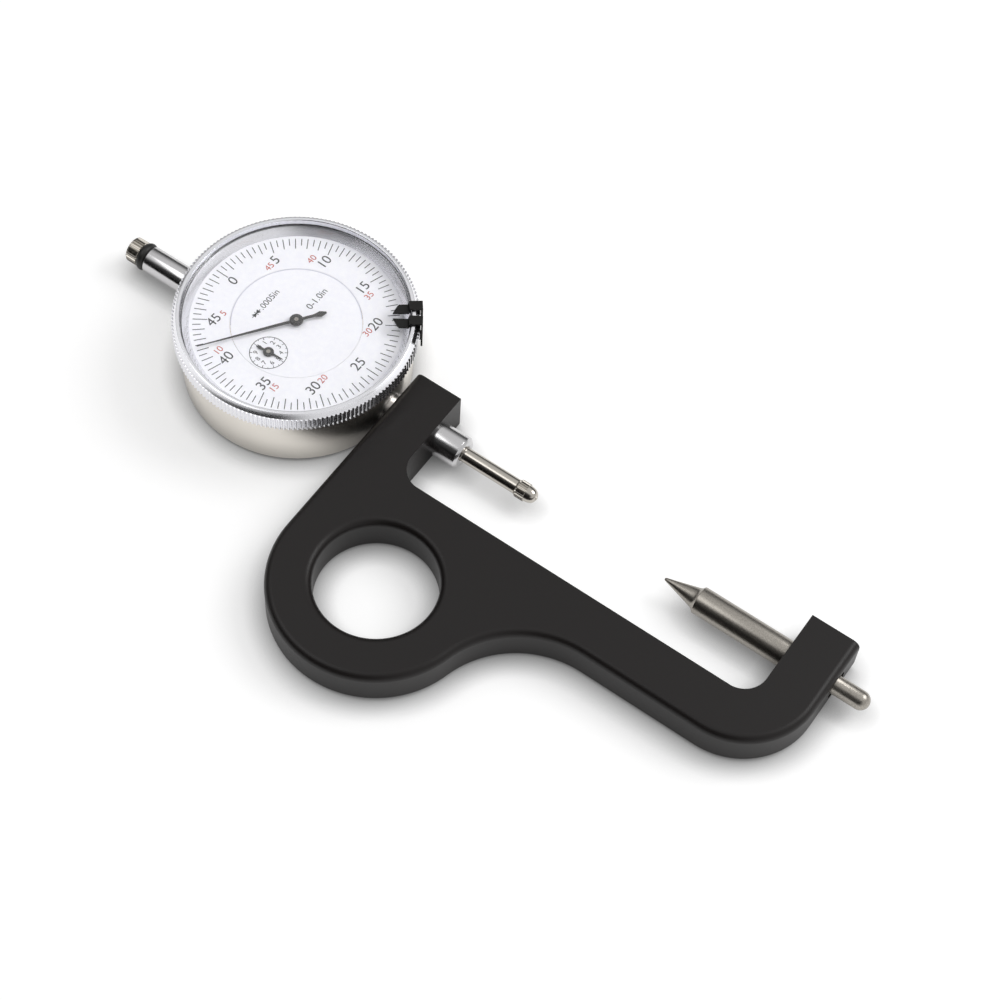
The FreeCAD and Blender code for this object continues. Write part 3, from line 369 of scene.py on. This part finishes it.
# Satin aluminium is a warm pale metal that spreads what it reflects. Turning leaves fine rings round the
# wall, drawn a few times coarser than the tool's feed.
satin_aluminium = grained("satin_turned_aluminium", {
    "Base Color": linear("#e2ddd5"), "Metallic": 1.0, "Roughness": 0.3},
    grain_mm=0.9, height_mm=0.004, rough=(0.26, 0.36), stretch=(0.25, 0.25, 6.0))
dress(case, satin_aluminium, "frame", ["case"])
dress(frame["nodes"]["case_back"], satin_aluminium)


# Stem, rear tube and spindle.
# The stem is ground steel tube, bright as a mirror, pressed into the case and clamped in the near arm. The
# spindle is a hardened rod that slides in it and in the thinner tube behind the case.

stem_low, stem_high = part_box("stem")
stem_start = stem_low.x / MM
stem_end = stem_high.x / MM
spindle_low, spindle_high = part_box("spindle")
spindle_radius = (spindle_high.y - spindle_low.y) / 2 / MM
spindle_front = spindle_high.x / MM
spindle_bore = spindle_radius + 0.05
stem = turned("stem_tube", [
    (stem_start, spindle_bore), (stem_start, stem_radius / MM), (stem_end - 0.8, stem_radius / MM),
    (stem_end, 3.96), (stem_end, spindle_bore + 0.25), (stem_end - 0.25, spindle_bore),
    (stem_start, spindle_bore)], "X", segments=128, edge=0.08)
tube_low, tube_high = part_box("rear_tube")
tube_end = tube_low.x / MM
tube_start = tube_high.x / MM
mouth_radius = 1.65
mouth_depth = 3.5
tube = turned("rear_tube_turned", [
    (tube_start, spindle_bore), (tube_start, tube_radius), (tube_end + 0.35, tube_radius), (tube_end, 3.65),
    (tube_end, mouth_radius), (tube_end + mouth_depth, mouth_radius), (tube_end + mouth_depth, spindle_bore),
    (tube_start, spindle_bore)], "X", segments=96, edge=0.06)

# Ground and polished steel gives sharp, bright reflections, drawn out a little along the work. The marks of
# the stone are drawn many times coarser than they are.
polished_steel = grained("polished_hard_steel", {
    "Base Color": linear("#bdb8b0"), "Metallic": 1.0, "Roughness": 0.17},
    grain_mm=0.5, height_mm=0.0006, rough=(0.119, 0.255), stretch=(0.1, 1, 1))
bright_tube = grained("bright_drawn_tube", {
    "Base Color": linear("#cbcacb"), "Metallic": 1.0, "Roughness": 0.18},
    grain_mm=0.4, height_mm=0.0006, rough=(0.126, 0.27), stretch=(0.1, 1, 1))
dress(stem, bright_tube, "frame", ["stem"])
dress(tube, bright_tube, "frame", ["rear_tube"])
dress(frame["nodes"]["spindle"], polished_steel)


# Contact point.
# A hard steel tip with a straight-knurled grip and a rounded nose, turned, ground and polished. It screws
# into the spindle's front end.

def knurl(piece, along, teeth, radius, keep):
    """Press the grooves of a straight knurl into a spun piece, whose steps are four to each tooth.

    Two of the four steps at that radius, in mm, are scaled towards the axis by the part to keep.
    """
    bpy.ops.object.select_all(action="DESELECT")
    piece.select_set(True)
    bpy.context.view_layer.objects.active = piece
    bpy.ops.object.mode_set(mode="EDIT")
    bpy.ops.mesh.select_mode(type="VERT")
    bpy.ops.mesh.select_all(action="DESELECT")
    bpy.ops.object.mode_set(mode="OBJECT")
    for vertex in piece.data.vertices:
        place = vertex.co
        across = (place.y, place.z - axis_z) if along == "X" else (place.x, place.y)
        step = round(math.atan2(across[1], across[0]) / (2 * math.pi) * teeth * 4) % 4
        vertex.select = step in (2, 3) and math.hypot(*across) / MM > radius - 0.05
    bpy.ops.object.mode_set(mode="EDIT")
    factor = (1, keep, keep) if along == "X" else (keep, keep, 1)
    centre = (0, 0, axis_z) if along == "X" else (0, 0, 0)
    bpy.ops.transform.resize(value=factor, center_override=centre)
    bpy.ops.object.mode_set(mode="OBJECT")
    soften(piece, 0.0)


point_low, point_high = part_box("contact_point")
point_tip = point_high.x / MM
point_radius = (point_high.y - point_low.y) / 2 / MM
point_teeth = 22
nose_radius = point_radius - 0.25
shoulder = point_tip - 3.2
thread_end = spindle_front - 4
thread_radius = 1.08
point_section = [
    (thread_end, 0.0), (thread_end, thread_radius), (spindle_front, thread_radius),
    (spindle_front, point_radius - 0.2), (spindle_front + 0.3, point_radius), (shoulder - 0.1, point_radius),
    (shoulder, nose_radius)]
point_section += dome(shoulder, 2.9, nose_radius, flat=0.75, steps=8)[1:]
point_section += dome(point_tip - 0.35, 0.35, 0.68, flat=0.0, steps=4)
contact = turned("contact_point_turned", point_section, "X", segments=point_teeth * 4)
knurl(contact, "X", point_teeth, point_radius, keep=0.9)
dress(contact, polished_steel, "spindle", ["contact_point"])


# Pull knob and O-ring.
# The knob is a steel cap, turned, straight-knurled and polished, on the spindle's rear end. The ring is
# moulded rubber, pushed onto the spindle in front of it, and cushions it on the tube.

knob_low, knob_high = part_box("pull_knob")
knob_tip = knob_low.x / MM
knob_end = knob_high.x / MM
knob_radius = (knob_high.y - knob_low.y) / 2 / MM
knob_teeth = 28
shank_radius = 1.61
knob = turned("pull_knob_turned", [
    (knob_tip, 0.0), (knob_tip, 2.4), (knob_tip + 0.25, 2.6), (knob_tip, 2.8), (knob_tip, knob_radius - 0.4),
    (knob_tip + 0.4, knob_radius), (knob_end - 0.15, knob_radius), (knob_end, knob_radius - 0.2),
    (knob_end, shank_radius), (knob_tip + 1.0, shank_radius), (knob_tip + 1.0, 0.0)],
    "X", segments=knob_teeth * 4)
knurl(knob, "X", knob_teeth, knob_radius, keep=0.91)
dress(knob, polished_steel, "spindle", ["pull_knob"])

ring_low, ring_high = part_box("knob_o_ring")
section_radius = 1.25
section_steps = 24
ring_middle = (ring_low.x + ring_high.x) / 2 / MM
ring_major = (ring_high.z - ring_low.z) / 2 / MM - section_radius
ring_section = []
for k in range(section_steps + 1):
    turn = 2 * math.pi * k / section_steps
    ring_section.append((ring_middle + section_radius * math.sin(turn),
                         ring_major + section_radius * math.cos(turn)))
o_ring = turned("o_ring", ring_section, "X", segments=96)

# Moulded nitrile is a dull black with a faint, uneven sheen on its round back
rubber = grained("black_nitrile_rubber", {
    "Base Color": linear("#141412"), "Metallic": 0.0, "Roughness": 0.45, "IOR": 1.52},
    grain_mm=0.3, height_mm=0.004, rough=(0.38, 0.55))
dress(o_ring, rubber, "spindle", ["knob_o_ring"])


# Movement.
# Plates and wheels cut from rolled brass, with steel arbors, springs and screws. It is screwed together as
# one unit inside the case, hidden behind the dial.

# Brass is a warm yellow metal, here with the faint long marks of rolling
brass = grained("machined_brass", {
    "Base Color": linear("#c9a55c"), "Metallic": 1.0, "Roughness": 0.3},
    grain_mm=0.3, height_mm=0.002, rough=(0.24, 0.38), stretch=(0.2, 1, 1))
for node in ("lower_plate", "upper_plate", "plate_pillars", "rack_bridge", "dial_posts", "drive_gear",
             "counter_drive_gear", "take_up_gear", "counter_gear", "hairspring_stud"):
    dress(frame["nodes"][node], brass)
for node in ("back_screws", "plate_screws", "guide_pin", "spring_pin", "spring_post", "return_spring",
             "retaining_ring", "rack_pinion_arbor", "take_up_arbor", "hairspring"):
    dress(frame["nodes"][node], polished_steel)
for node in ("centre_arbor", "counter_arbor"):
    dress(frame["nodes"][node], satin_steel)


# Dial.
# A fixed round plate in the middle and a ring that turns with the bezel, both of aluminium with a smooth
# white enamel. The scale, the numerals and the small counting dial are printed on them.

# Stoved enamel is an even white, a touch cool, with a soft gloss and a very slight unevenness
enamel = grained("white_dial_enamel", {
    "Base Color": linear("#f6f6fc"), "Metallic": 0.0, "Roughness": 0.35, "IOR": 1.5},
    grain_mm=1.2, height_mm=0.001, shades=("#f4f4fb", "#f9f9fd"))
for node in ("dial_disc", "dial_ring"):
    dress(frame["nodes"][node], enamel)

dial_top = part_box("dial_ring")[1].z
dial_face = dial_top / MM
print_height = 0.02 * MM
print_line = 0.2


def ink(name, colour):
    """Screen-printed ink, and the same flat colour for painted shade: flat and dull, slightly uneven in
    strength.
    """
    return grained(name, {"Base Color": linear(colour), "Roughness": 0.5},
                   grain_mm=0.4, height_mm=0.001, rough=(0.42, 0.58))


def join(name, pieces):
    """Join the pieces into one mesh."""
    bpy.ops.object.select_all(action="DESELECT")
    for piece in pieces:
        piece.select_set(True)
    bpy.context.view_layer.objects.active = pieces[0]
    bpy.ops.object.join()
    pieces[0].name = name
    return pieces[0]


def lay(piece, place, degrees):
    """Turn a printed piece, put it on the dial at a place in mm, and apply both to its mesh."""
    piece.rotation_euler = (0, 0, math.radians(degrees))
    piece.location = (place[0] * MM, place[1] * MM, dial_top + print_height / 2)
    bpy.ops.object.transform_apply(location=True, rotation=True, scale=True)
    return piece


def print_text(words, size_mm, place, degrees):
    """Words laid flat on the dial, centred on a place in mm, as a thin raised print."""
    bpy.ops.object.select_all(action="DESELECT")
    bpy.ops.object.text_add()
    text = bpy.context.object.data
    text.body = words
    text.size = size_mm * MM
    text.align_x = "CENTER"
    text.align_y = "CENTER"
    text.extrude = print_height / 2
    bpy.ops.object.convert(target="MESH")
    return lay(bpy.context.object, place, degrees)


def print_tick(inner, outer, width, degrees, centre=(0.0, 0.0)):
    """One radial line of a scale, between two radii in mm."""
    bpy.ops.object.select_all(action="DESELECT")
    bpy.ops.mesh.primitive_cube_add(size=1)
    tick = bpy.context.object
    tick.scale = ((outer - inner) * MM, width * MM, print_height)
    tick.location = ((inner + outer) / 2 * MM, 0, dial_top + print_height / 2)
    bpy.ops.object.transform_apply(location=True, rotation=True, scale=True)
    tick.rotation_euler = (0, 0, math.radians(degrees))
    tick.location = (centre[0] * MM, centre[1] * MM, 0)
    bpy.ops.object.transform_apply(location=True, rotation=True, scale=True)
    return tick


def print_arrow(place, degrees):
    """One filled arrow head."""
    bpy.ops.object.select_all(action="DESELECT")
    bpy.ops.mesh.primitive_cylinder_add(vertices=3, radius=0.85 * MM, depth=print_height)
    return lay(bpy.context.object, place, degrees)


def print_ring(name, inner, outer, segments, offset_y=0.0):
    """A flat circle on the dial between two radii in mm, used for print and for painted shade."""
    face = dial_face + 0.015
    section = [(dial_face, inner), (face, inner), (face, outer), (dial_face, outer), (dial_face, inner)]
    return turned(name, section, "Z", segments, offset_y=offset_y)


def polar(radius, degrees, centre=(0.0, 0.0)):
    """The point at a radius and an angle from a centre."""
    angle = math.radians(degrees)
    return centre[0] + radius * math.cos(angle), centre[1] + radius * math.sin(angle)


black_ink = ink("black_print", "#141418")
red_ink = ink("red_print", "#b8463a")
# The pale lavender is painted shade for the gap round the disc's edge, not print
shade_arc_material = ink("pale_lavender_painted_shade", "#d3d3e2")

# The scale: 100 divisions, longer at every second one and longest at every tenth
divisions = 100
division_angle = 3.6
zero_angle = 178.4
scale_outer = 28.57
tenth_inner, second_inner, plain_inner = 24.5, 25.2, 26.3
ticks = []
for k in range(divisions):
    inner = tenth_inner if k % 10 == 0 else second_inner if k % 2 == 0 else plain_inner
    ticks.append(print_tick(inner, scale_outer, 0.25, zero_angle - division_angle * k))
dress(join("scale_ticks", ticks), black_ink, "bezel")

# The numerals of both directions: number, angle and radius of its middle. They are turned two degrees less
# than the words.
words_turn = 90.0
numeral_turn = 88.0
numeral_size = 4.2
reverse_size = 2.8
black_places = ((0, 178.3, 22.6), (5, 142.9, 22.1), (10, 106.4, 21.85), (15, 69.25, 21.7),
                (20, 35.0, 21.9), (25, -2.5, 22.0), (30, -40.6, 22.2), (35, -76.3, 21.9),
                (40, -111.3, 22.3), (45, -145.3, 22.65))
red_places = ((45, 148.9, 20.4), (40, 116.0, 21.85), (35, 60.85, 22.0), (30, 27.0, 19.9),
              (20, -31.7, 20.1), (15, -68.2, 22.3), (10, -119.5, 23.1), (5, -152.0, 20.35))
for name, places, size, colour in (("scale_numerals", black_places, numeral_size, black_ink),
                                   ("reverse_numerals", red_places, reverse_size, red_ink)):
    numerals = [print_text(str(n), size, polar(radius, angle), numeral_turn) for n, angle, radius in places]
    dress(join(name, numerals), colour, "bezel")

# The range, the size of one division, and its sign: two arrow heads that meet on a crossed line
sign_x = -10.67
unit_print = [
    print_text("0-1.0in", 2.9, (-0.24, 9.7), words_turn),
    print_text(".0005in", 2.65, (sign_x, 1.6), words_turn),
    print_tick(-6.0, -2.5, print_line, 90, (sign_x, 0.0)),
    print_arrow((sign_x, -4.95), 0), print_arrow((sign_x, -3.5), -180),
    print_tick(-0.75, 0.75, print_line, 0, (sign_x, -4.22))]
dress(join("unit_words", unit_print), black_ink, "frame")

# A pale lavender arc of painted shade, standing for the shaded gap between the disc and the ring, runs round
# one half of the disc
painted_disc_shade = print_ring("painted_disc_shade", 17.95, 18.2, segments=160)
dress(painted_disc_shade, shade_arc_material, "frame")
bpy.ops.object.mode_set(mode="EDIT")
bpy.ops.mesh.select_all(action="SELECT")
bpy.ops.mesh.bisect(plane_co=(0, 0, 0), plane_no=(-0.641, 0.767, 0), clear_inner=True, use_fill=True)
bpy.ops.object.mode_set(mode="OBJECT")

# The counting dial: ten numbered marks with a shorter one between each two, inside a thin circle
counter_centre = (0.0, -12.54)
counter_outer = 5.2
counter_angles = [180 - 36 * k for k in range(10)]
marks = [print_tick(4.4, counter_outer, 0.17, angle, counter_centre) for angle in counter_angles]
marks += [print_tick(4.75, counter_outer, 0.13, angle - 18, counter_centre) for angle in counter_angles]
marks += [print_text(str(k), 2.0, polar(3.45, angle, counter_centre), words_turn)
          for k, angle in enumerate(counter_angles)]
marks.append(print_ring("counter_rim", 5.1, 5.3, segments=96, offset_y=counter_centre[1] * MM))
dress(join("counter_scale", marks), black_ink, "frame")


# Hands.
# The main hand and the small counting hand, punched from thin sheet and lacquered black. Each is pressed
# with its turned hub onto its arbor.

# Lacquer is a near black under a thin clear gloss, very slightly uneven
lacquer = grained("black_lacquer", {
    "Base Color": linear("#1b1b1a"), "Metallic": 0.0, "Roughness": 0.3, "IOR": 1.5, "Coat Weight": 0.3},
    grain_mm=0.3, height_mm=0.002, rough=(0.25, 0.4))
for node in ("main_hand", "main_hand_hub", "counter_hand", "counter_hand_hub"):
    dress(frame["nodes"][node], lacquer)


# Bezel.
# Turned from aluminium: a straight-knurled grip, a cone up to a bright raised lip, a deep wall round the
# crystal and a bright cone below it, down to the dial. Its neck turns inside the case's rim.

bezel_low, bezel_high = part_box("bezel")
bezel_radius = max(bezel_high.x, bezel_high.y) / MM
bezel_teeth = 172
tooth_depth = 0.42
top = bezel_high.z / MM
neck = bezel_low.z / MM
neck_top = top - 6.92
neck_radius = 30.3
neck_bore = 29.65
wall = bezel_radius - 2.4
dial_bore = wall - 0.45
cone_foot = 29.5
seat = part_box("crystal")[0].z / MM
dial_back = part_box("dial_ring")[0].z / MM
bezel_section = [
    (neck, neck_bore), (neck, neck_radius), (neck_top, neck_radius), (neck_top, bezel_radius - 1.5),
    (top - 6.1, bezel_radius - 1.2), (top - 6.1, bezel_radius - 0.45), (top - 6.0, bezel_radius),
    (top - 5.0, bezel_radius), (top - 3.5, bezel_radius), (top - 1.6, bezel_radius),
    (top - 1.55, bezel_radius - 0.43), (top - 1.0, bezel_radius - 0.8), (top - 0.5, bezel_radius - 1.1),
    (top - 0.06, bezel_radius - 1.34), (top, bezel_radius - 1.46), (top, wall + 0.3),
    (top - 0.05, wall + 0.12), (top - 0.2, wall), (seat, wall), (seat, dial_bore),
    (dial_face + 0.25, 29.6), (dial_face + 0.04, cone_foot), (dial_face + 0.04, dial_bore),
    (dial_back, dial_bore), (dial_back, neck_bore), (neck, neck_bore)]
bezel = turned("bezel_turned", bezel_section, "Z", segments=bezel_teeth * 4)
knurl(bezel, "Z", bezel_teeth, bezel_radius, keep=1 - tooth_depth / bezel_radius)

# Fine-turned aluminium is nearly a mirror, faintly ringed round the axis. The rings are drawn many times
# coarser than the tool's feed.
bright_aluminium = grained("bright_turned_aluminium", {
    "Base Color": linear("#efeff3"), "Metallic": 1.0, "Roughness": 0.2},
    grain_mm=0.6, height_mm=0.0003, rough=(0.16, 0.24), stretch=(0.3, 0.3, 4.0))
dress(bezel, bright_aluminium, "bezel", ["bezel"])


# Crystal.
# A flat disc of clear acrylic with polished faces and a broken edge, sprung into the bezel's wall. It turns
# with the bezel.

crystal_low, crystal_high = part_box("crystal")
crystal_radius = crystal_high.x / MM
crystal_back = crystal_low.z / MM
crystal_face = crystal_high.z / MM
crystal = turned("crystal_disc", [
    (crystal_back, 0.0), (crystal_back, crystal_radius), (crystal_face, crystal_radius), (crystal_face, 0.0)],
    "Z", segments=192, edge=0.1)
# The flat faces keep their own normals up to the edge, so that the disc stays clear from a low angle
soften(crystal, 0.0, limit=20)

# Acrylic is clear, with one weak, sharp reflection, which faint wiping marks make very slightly uneven
wiping_mm = 8
acrylic, tree, shader = start_material("clear_acrylic", {
    "Base Color": linear("#ffffff"), "Metallic": 0.0, "Roughness": 0.02, "IOR": 1.49,
    "Specular IOR Level": 0.2, "Transmission Weight": 1.0})
place = add_node(tree, "ShaderNodeTexCoord")
noise = add_node(tree, "ShaderNodeTexNoise", {"Scale": 1 / (wiping_mm * MM)}, {"Vector": (place, "Object")})
vary_roughness(tree, shader, noise, 0.015, 0.03)
dress(crystal, acrylic, "bezel", ["crystal"])
crystal.visible_shadow = False


# Limit clips.
# Two strips of spring steel sheet, blackened and bent over the bezel's rim, which they grip. They point
# inwards over the scale and slide round the rim.

# Blackened sheet is a flat black with a slight sheen along its bends
black_sheet = grained("blackened_spring_sheet", {
    "Base Color": linear("#131211"), "Metallic": 0.0, "Roughness": 0.42, "Specular IOR Level": 0.3},
    grain_mm=0.25, height_mm=0.004, rough=(0.35, 0.5))
for node in ("limit_clip_left", "limit_clip_right"):
    dress(frame["nodes"][node], black_sheet)


# Stage.
# A sheet of white paper that the object lies on, a white surround, two soft lamps and the camera. None of
# it is part of the object.

bpy.ops.object.select_all(action="DESELECT")
bpy.ops.mesh.primitive_plane_add(size=3.0, location=(0.07, -0.02, -0.0002))
floor = bpy.context.object
floor.name = "floor"

# The paper glows a little to the camera and in reflections. Near the object's foot its colour and its glow
# are darkened by a painted contact shadow
paper_colour = linear("#e6e6e6")
paper_glow = 0.39
contact_shadow_reach = 7 * MM
paper, tree, shader = start_material("white_paper_sweep", {
    "Base Color": paper_colour, "Roughness": 0.85, "Specular IOR Level": 0.2})
path = add_node(tree, "ShaderNodeLightPath")
seen = add_node(tree, "ShaderNodeMath", links={0: (path, "Is Camera Ray"), 1: (path, "Is Glossy Ray")},
                operation="MAXIMUM")
glow = add_node(tree, "ShaderNodeMath", {1: paper_glow}, {0: (seen, "Value")}, operation="MULTIPLY")
# Painted contact shadow: occlusion darkens the paper's colour and its glow near the object
for colour, socket in (((1, 1, 1, 1), "Emission Color"), (paper_colour, "Base Color")):
    shade = add_node(tree, "ShaderNodeAmbientOcclusion", {"Color": colour, "Distance": contact_shadow_reach})
    tree.links.new(shade.outputs["Color"], shader.inputs[socket])
tree.links.new(glow.outputs["Value"], shader.inputs["Emission Strength"])
floor.data.materials.append(paper)

# The surround is white to the camera. To the object it grows pale upwards, stays dim low in front, and is
# pale again far to one side: each fade is an axis, where it starts and ends, and its two strengths.
world = bpy.data.worlds.new("studio")
bpy.context.scene.world = world
world.use_nodes = True
tree = world.node_tree
tree.nodes.clear()
direction = add_node(tree, "ShaderNodeTexCoord")
split = add_node(tree, "ShaderNodeSeparateXYZ", links={"Vector": (direction, "Generated")})
fades = []
for axis, start, end, low, high in (("Z", 0.22, 0.8, 0.06, 0.8), ("Y", -0.62, -0.3, 0.07, 1.0),
                                    ("X", 0.35, 0.8, 0.0, 0.75)):
    reach = {"From Min": start, "From Max": end, "To Min": low, "To Max": high}
    fades.append(add_node(tree, "ShaderNodeMapRange", reach, {"Value": (split, axis)},
                          interpolation_type="SMOOTHSTEP"))
rise, front, side = fades
top_light = add_node(tree, "ShaderNodeMath", links={0: (rise, "Result"), 1: (front, "Result")},
                     operation="MULTIPLY")
both = add_node(tree, "ShaderNodeMath", links={0: (top_light, "Value"), 1: (side, "Result")},
                operation="MAXIMUM")
path = add_node(tree, "ShaderNodeLightPath")
strength = add_node(tree, "ShaderNodeMix", {"B": 1.0},
                    {"Factor": (path, "Is Camera Ray"), "A": (both, "Value")})
sky = add_node(tree, "ShaderNodeBackground", {"Color": (1, 1, 1, 1)}, {"Strength": (strength, "Result")})
add_node(tree, "ShaderNodeOutputWorld", links={"Surface": (sky, "Background")})


def softbox(name, place, size, power):
    """A large rectangular lamp that faces the object."""
    light = bpy.data.lights.new(name, "AREA")
    light.shape = "RECTANGLE"
    light.size, light.size_y = size
    light.energy = power
    lamp = bpy.data.objects.new(name, light)
    lamp.location = place
    aim = Vector((0.06, -0.02, 0.0)) - Vector(place)
    lamp.rotation_euler = aim.to_track_quat("-Z", "Y").to_euler()
    bpy.context.scene.collection.objects.link(lamp)


softbox("key", place=(0.6, 0.62, 0.82), size=(0.6, 0.5), power=4.4)
softbox("overhead", place=(-0.36, -0.22, 0.95), size=(0.6, 0.4), power=1.2)

# The camera's place, turn and lens were fitted to the photo's outlines
camera_data = bpy.data.cameras.new("camera")
camera_data.lens = 86.34
camera_data.sensor_width = 36.0
camera_data.clip_start = 0.01
camera = bpy.data.objects.new("camera", camera_data)
camera.location = (0.24346, -0.29141, 0.56647)
camera.rotation_euler = [math.radians(angle) for angle in (30.5636, -2.4773, 34.9653)]
bpy.context.scene.collection.objects.link(camera)
bpy.context.scene.camera = camera
bpy.context.scene.view_settings.view_transform = "Standard"
